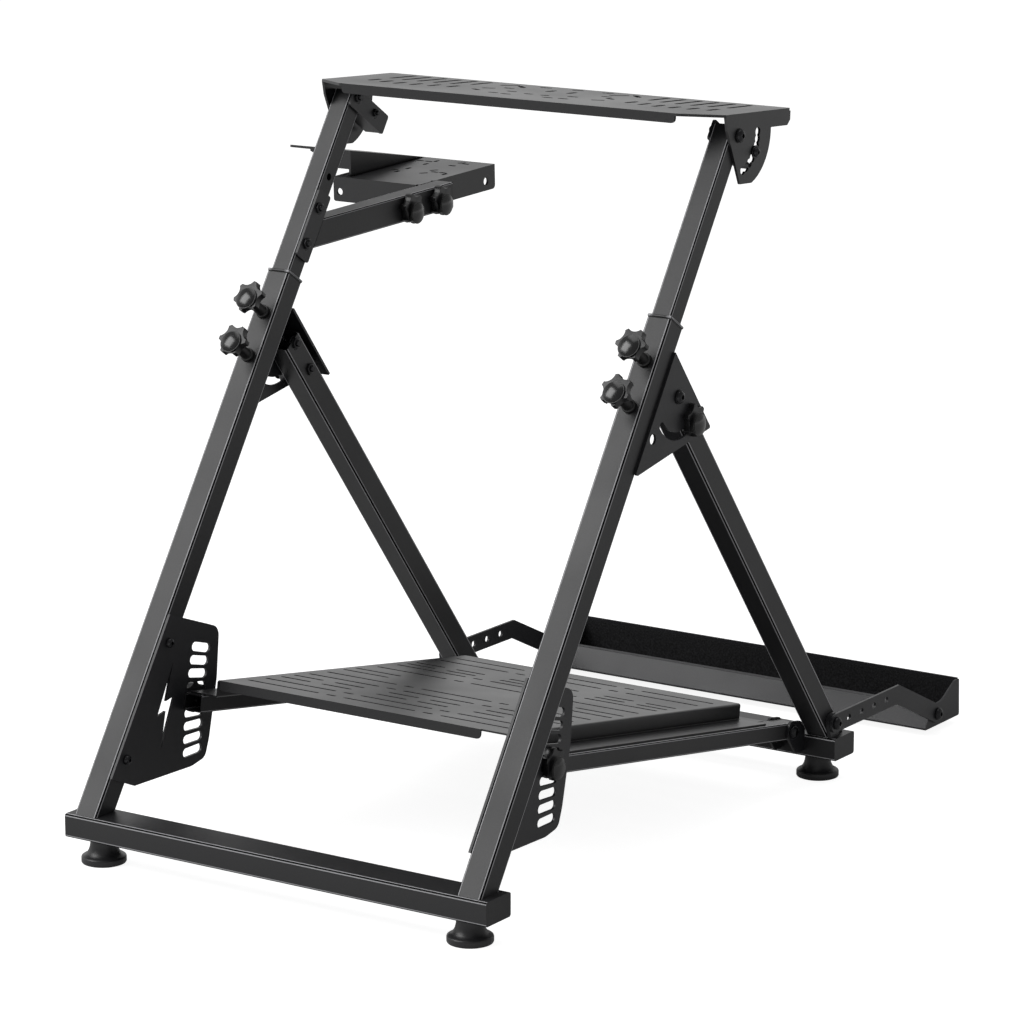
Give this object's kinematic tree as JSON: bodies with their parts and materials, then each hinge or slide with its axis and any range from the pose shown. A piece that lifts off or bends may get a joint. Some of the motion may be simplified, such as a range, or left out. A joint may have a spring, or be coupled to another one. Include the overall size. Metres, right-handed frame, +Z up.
{
  "type": "racing wheel stand",
  "caption": "Folding steel stand with a tilting wheel plate on telescoping legs, a sloped slotted pedal deck, a side shifter shelf and a floor tray for chair castors.",
  "frame": {"origin": "centre of the bounding box, on the floor under the feet", "axes": "+X to the right seen from the front bar, +Y from the front bar towards the driver and the castor tray, +Z up"},
  "size_m": [0.7468, 1.0458, 0.8165],
  "materials": {
    "frame": "satin black powder coat",
    "sheet": "satin black powder coat",
    "foot": "matt black",
    "knob": "black plastic",
    "collar": "black plastic",
    "lining": "rough matt black lining",
    "bolt": "black oxide steel"
  },
  "bodies": {
    "base": {"brace_bolts": "bolt", "brace_knobs": "knob", "collars": "collar", "front_bar": "frame", "front_left_foot": "foot", "front_right_foot": "foot", "height_knobs": "knob", "hinge_bolts": "bolt", "hinge_brackets": "sheet", "left_gusset": "sheet", "left_lower_leg": "frame", "left_pedal_rail": "frame", "left_rear_leg": "frame", "left_side_plate": "sheet", "pedal_cross_plate": "sheet", "pedal_knobs": "knob", "pedal_plate": "sheet", "rear_bar": "frame", "rear_left_foot": "foot", "rear_right_foot": "foot", "right_gusset": "sheet", "right_lower_leg": "frame", "right_pedal_rail": "frame", "right_rear_leg": "frame", "right_side_plate": "sheet", "tray_pivot_bolts": "bolt", "tray_tabs": "sheet"},
    "upper_frame": {"left_upper_tube": "frame", "right_upper_tube": "frame", "shifter_arm": "frame", "shifter_arm_plate": "sheet", "shifter_knobs": "knob", "shifter_strip_bolts": "bolt", "tilt_bolts": "bolt", "tilt_clips": "sheet", "tilt_pins": "bolt"},
    "wheel_deck": {"wheel_plate": "sheet"},
    "shifter_shelf": {"shifter_plate": "sheet"},
    "castor_tray": {"left_tray_arm": "sheet", "right_tray_arm": "sheet", "tray": "sheet", "tray_bolts": "bolt", "tray_lining": "lining"}
  },
  "joints": [
    {"name": "wheel_height", "type": "slide", "parent": "base", "child": "upper_frame", "axis": [0, 0.5505, 0.8348], "range_m": [-0.01, 0.07]},
    {"name": "wheel_tilt", "type": "hinge", "parent": "upper_frame", "child": "wheel_deck", "pos_m": [0.0864, -0.01476, 0.78934], "axis": [1, 0, 0], "range_deg": [-22, 44]},
    {"name": "shifter_reach", "type": "slide", "parent": "upper_frame", "child": "shifter_shelf", "axis": [0, 0.9995, 0.0314], "range_m": [-0.02, 0.02]},
    {"name": "tray_lift", "type": "hinge", "parent": "base", "child": "castor_tray", "pos_m": [0.0864, 0.21099, 0.073], "axis": [1, 0, 0], "range_deg": [0, 80]}
  ]
}
